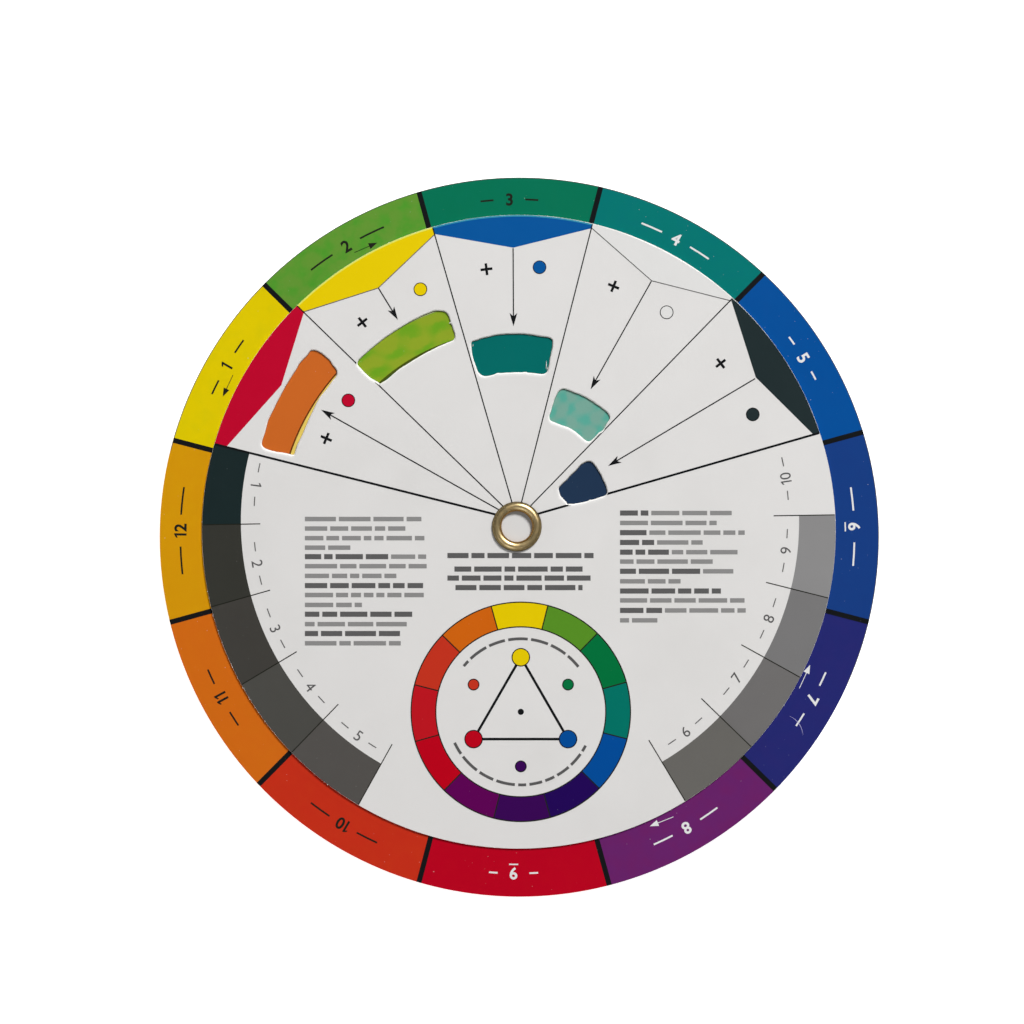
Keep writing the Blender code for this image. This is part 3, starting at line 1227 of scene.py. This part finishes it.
def makeRearDial():
    bm = bmesh.new()
    for index, (steps, width) in enumerate(harmony.values()):
        corners = [polar(rearPlan, harmonyLook["radius"], 90 - 30 * step) for step in steps]
        pairs = zip(corners, corners[1:] + corners[:1])
        if len(steps) == 2:  # a line through the middle stops at the washer
            middle = harmonyLook["middle"]
            pairs = zip(corners, [polar(rearPlan, middle, 90 - 30 * step) for step in steps])
        for start, end in pairs:
            bar(bm, start, end, width * mm, index % 2, film["first"])
    underRearDial("harmonyFigures", bm, [blackInk, softInk])
    bm = bmesh.new()
    line = harmonyLook["line"]
    circleLine(bm, rearPlan, harmonyLook["ring"], line, 0, film["first"])
    for k in range(12):
        keys = ("radius", "ring", "tick")
        place, tail, tip = [polar(rearPlan, harmonyLook[key], 90 - 30 * k) for key in keys]
        dot(bm, place, harmonyLook["spots"][k > 0], 0, film["third"])
        arrow(bm, tail, tip, line, harmonyLook["heads"][k > 0])
    underRearDial("harmonyDots", bm, [blackInk])


makeRearPrint()
makeRearDial()
print("rear printed")


# Brass eyelet and washer
brassLook = {
    "bright": (230, 204, 150),
    "shaded": (120, 84, 36),
    "tarnish": (112, 78, 32),
    "brassRimShade": (70, 58, 28),
    "brassRimShadeFrom": 4.15 * mm,  # from the pivot: painted shade and dark reflection on the flange's outer rim, where it meets the card
    "brassRimShadeTo": 4.7 * mm,
    "roughness": 0.27,
}
brassForm = {
    "turns": 96,
    "wall": 0.24 * mm,
    "barrel": 3.2 * mm,
    "inside": 3.3 * mm,
    "rearRoll": 4.6 * mm,
    "lip": 0.5 * mm,
    "bend": 0.4 * mm,
    "rimLift": 0.14 * mm,
    "washerEase": 0.1 * mm,
}


def brassMaterial(name, shaded):
    board = Board(name, {"Metallic": 1.0})
    tarnish = board.ease(board.noise(1.6 * mm, 4.0), 0.42, 0.72)
    streak = board.noise(0.5 * mm, 3.0, (1.0, 1.0, 6.0))
    bright = between(brassLook["bright"], brassLook["shaded"], shaded)
    colour = board.mix(0.55 * tarnish, bright, between(bright, brassLook["tarnish"], 0.6))
    level = board.vector("MULTIPLY", board.place, (1, 1, 0))
    radius = board.vector("DISTANCE", level, (pivot.x, pivot.y, 0), "Value")
    # painted shade and dark reflection: the flange darkens towards its outer rim
    brassRimShade = board.ease(radius, brassLook["brassRimShadeFrom"], brassLook["brassRimShadeTo"])
    colour = board.mix(0.85 * brassRimShade, colour, brassLook["brassRimShade"])
    roughness = brassLook["roughness"] + 0.14 * tarnish + 0.08 * streak
    return board.finish(colour, roughness, streak, 0.006 * mm, 0.2)


def ellipsePart(centreR, centreZ, reachR, reachZ, start, end, steps):
    angles = [math.radians(start + (end - start) * i / steps) for i in range(steps + 1)]
    return [Vector((centreR + reachR * math.cos(a), centreZ + reachZ * math.sin(a))) for a in angles]


def wallOutline(path, thick):
    left, right = [], []
    for i, point in enumerate(path):
        along = (path[min(i + 1, len(path) - 1)] - path[max(i - 1, 0)]).normalized()
        side = Vector((-along.y, along.x)) * thick / 2
        left.append(point + side)
        right.append(point - side)
    return left + right[::-1]


def turnedPiece(name, node, profile, finishes):  # the last finish is for the inside of the barrel
    bm = bmesh.new()
    turns = brassForm["turns"]
    rings = []
    for k in range(turns):
        angle = math.tau * k / turns
        spin = Vector((math.cos(angle), math.sin(angle)))
        places = [(pivot.x + spin.x * p.x, pivot.y + spin.y * p.x, p.y) for p in profile]
        rings.append([bm.verts.new(place) for place in places])
    for k in range(turns):
        strip(bm, rings[k - 1], rings[k])
    for face in bm.faces:
        middle = face.calc_center_median()
        if (Vector((middle.x, middle.y)) - pivot).length < brassForm["inside"]:
            face.material_index = len(finishes) - 1
    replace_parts(addPiece(name, bm, "base", finishes, sharp=60), node)


def makeEyelet():
    low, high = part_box("eyelet")
    half = brassForm["wall"] / 2
    barrel = brassForm["barrel"] - half
    rearRoll = brassForm["rearRoll"] - half
    lip, bend = brassForm["lip"], brassForm["bend"]
    rear = ellipsePart(rearRoll - lip, half + lip, lip, lip, 0, -90, 10)
    rear += ellipsePart(barrel + bend, half + bend, bend, bend, -90, -180, 8)
    reach = ((high.x - low.x) / 2 - half - barrel) / 2
    rimZ = dialHigh.z + brassForm["rimLift"]
    flange = ellipsePart(barrel + reach, rimZ, reach, high.z - half - rimZ, 180, 0, 28)
    # the inside of the barrel takes a darker copy of the brass: painted shade
    finishes = [brassMaterial("eyelet brass", 0.0), brassMaterial("eyelet barrel brass", 0.75)]
    turnedPiece("eyeletBrass", "eyelet", wallOutline(rear + flange, brassForm["wall"]), finishes)


def makeWasher():
    low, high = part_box("rear_washer")
    ease = brassForm["washerEase"]
    outer, inner = (high.x - low.x) / 2 - ease, holeRadius + ease
    bottom, top = low.z + ease, high.z - ease
    profile = []
    for k, (r, z) in enumerate(((outer, bottom), (outer, top), (inner, top), (inner, bottom))):
        profile += ellipsePart(r, z, ease, ease, 90 * k - 90, 90 * k, 4)
    turnedPiece("washerBrass", "rear_washer", profile, [brassMaterial("washer brass", 0.15)])


makeEyelet()
makeWasher()
print("brass turned")


# Wear: white fibres that the die left on the cut edges, and one hair scratch
fibres = {
    "dial": 170,
    "clusters": ((206, 7), (92, 14), (60, 40)),  # where they gather on the rim, and the spread, in degrees
    "perWindow": 9,
    "long": 0.34 * mm,
    "thin": 0.06 * mm,
    "peak": 0.7,
    "deepest": 0.14 * mm,
    "windowLift": 0.08 * mm,
    "tearLift": 0.1 * mm,
}
tears = [  # pixel of the photograph, heading, length and width in mm
    ((545.8, 364.5), 88, 1.9, 0.2),
    ((547, 368), 75, 0.8, 0.12),
    ((472.5, 345), 80, 0.7, 0.12),
    ((449.8, 322.4), 20, 0.55, 0.32),
    ((599.3, 432.5), 40, 0.5, 0.3),
    ((589.5, 499.8), 15, 0.5, 0.3),
]
hairScratch = {"ends": [(789, 715.5), (801, 721), (802.5, 734.5)], "width": 0.11 * mm, "steps": 12}


def fibre(bm, place, degrees, length, width, height):
    along = polar(origin, length / 2, degrees)
    side = Vector((-along.y, along.x)).normalized() * width / 2
    flat = [place - along, place - side, place + along, place + side]
    ringVerts = [bm.verts.new((p.x, p.y, height)) for p in flat]
    peak = width * fibres["peak"]
    top = bm.verts.new((place.x, place.y, height + peak))
    bottom = bm.verts.new((place.x, place.y, height - min(peak, fibres["deepest"])))
    for i in range(4):
        bm.faces.new((ringVerts[i - 1], ringVerts[i], top))
        bm.faces.new((ringVerts[i], ringVerts[i - 1], bottom))


def makeFibres():
    bm = bmesh.new()
    pick = random.Random(31)
    for _ in range(fibres["dial"]):
        angles = [pick.gauss(*cluster) for cluster in fibres["clusters"]] + [pick.uniform(0, 360)]
        angle = pick.choice(angles)
        place = polar(dialCentre, dialRadius + pick.uniform(-0.12, 0.05) * mm, angle)
        length = pick.uniform(0.35, 1.0) * fibres["long"]
        heading = angle + 90 + pick.gauss(0, 25)
        fibre(bm, place, heading, length, fibres["thin"] * pick.uniform(0.7, 1.8), dialHigh.z)
    height = dialLow.z + fibres["windowLift"]
    for loop in windowLoops.values():
        for _ in range(fibres["perWindow"]):
            i = pick.randrange(len(loop))
            heading = headingOf(loop[i] - loop[i - 1]) + pick.gauss(0, 30)
            length = pick.uniform(0.4, 1.1) * fibres["long"]
            fibre(bm, loop[i], heading, length, fibres["thin"] * pick.uniform(0.7, 1.4), height)
    for place, heading, length, width in tears:
        fibre(bm, fromPhoto(*place), heading, length * mm, width * mm, dialLow.z + fibres["tearLift"])
    addPiece("cutFibres", bm, "front_dial_body", [cardCore])


def makeScratch():
    first, middle, last = [fromPhoto(*place) for place in hairScratch["ends"]]
    steps = hairScratch["steps"]
    shares = [i / steps for i in range(steps + 1)]
    curve = [first.lerp(middle, share).lerp(middle.lerp(last, share), share) for share in shares]
    left, right = [], []
    for i, point in enumerate(curve):
        side = (curve[min(i + 1, steps)] - curve[max(i - 1, 0)]).normalized().orthogonal()
        side *= hairScratch["width"] * (0.2 + 0.8 * math.sin(math.pi * i / steps)) / 2
        left.append(point + side)
        right.append(point - side)
    bm = bmesh.new()
    slab(bm, (left + right[::-1])[::-1], 0, film["third"])
    onBase("hairScratch", bm, [scratchInk])


makeFibres()
makeScratch()
print("wear added")


# Studio: a pale floor that rises far away, soft key light from the top of the picture, dim surround
studio = {
    "surround": 0.11,
    "surroundColour": (0.97, 0.985, 1.0, 1),
    "floor": [(4, 0), (4.5, 0.08), (4.85, 0.3), (5, 0.65), (5, 1.2)],  # radius and height
    "floorGlow": 0.8,
    "lamps": {  # place, size and power
        "key": ((0.6, 1.05, 1.2), 0.5, 29.7),
        "fill": ((-0.4, -0.9, 1.3), 1.1, 3.3),
    },
}


def makeLamp(name, place, size, power):
    data = bpy.data.lights.new(name, "AREA")
    data.shape = "DISK"
    data.size = size
    data.energy = power
    lamp = linked(name, data)
    lamp.location = place
    lamp.rotation_mode = "QUATERNION"
    lamp.rotation_quaternion = (-Vector(place)).to_track_quat("-Z", "Y")


def makeFloor():
    bm = bmesh.new()
    rings = []
    for radius, height in studio["floor"]:
        loop = circlePoints(origin, radius, sides["floor"])
        rings.append([bm.verts.new((point.x, point.y, height)) for point in loop])
    bm.faces.new(rings[0])
    for first, second in zip(rings, rings[1:]):
        strip(bm, second, first)
    mesh = meshOf("floor", bm)
    mesh.shade_smooth()
    glow = {"Emission Color": (1, 1, 1, 1), "Emission Strength": studio["floorGlow"]}
    board = Board("pale floor", {"Roughness": 0.9, "Specular IOR Level": 0.1, **glow})
    colour = board.mix(board.noise(60 * mm), (249, 249, 248), (251, 251, 250))
    mesh.materials.append(board.finish(colour))
    linked("floor", mesh)


def makeStudio():
    world = bpy.data.worlds.new("surround")
    bpy.context.scene.world = world
    world.use_nodes = True
    background = world.node_tree.nodes["Background"]
    background.inputs["Color"].default_value = studio["surroundColour"]
    background.inputs["Strength"].default_value = studio["surround"]
    for name, lamp in studio["lamps"].items():
        makeLamp(name, *lamp)
    makeFloor()
    bpy.context.scene.view_settings.view_transform = "Standard"


makeStudio()
print("studio lit")
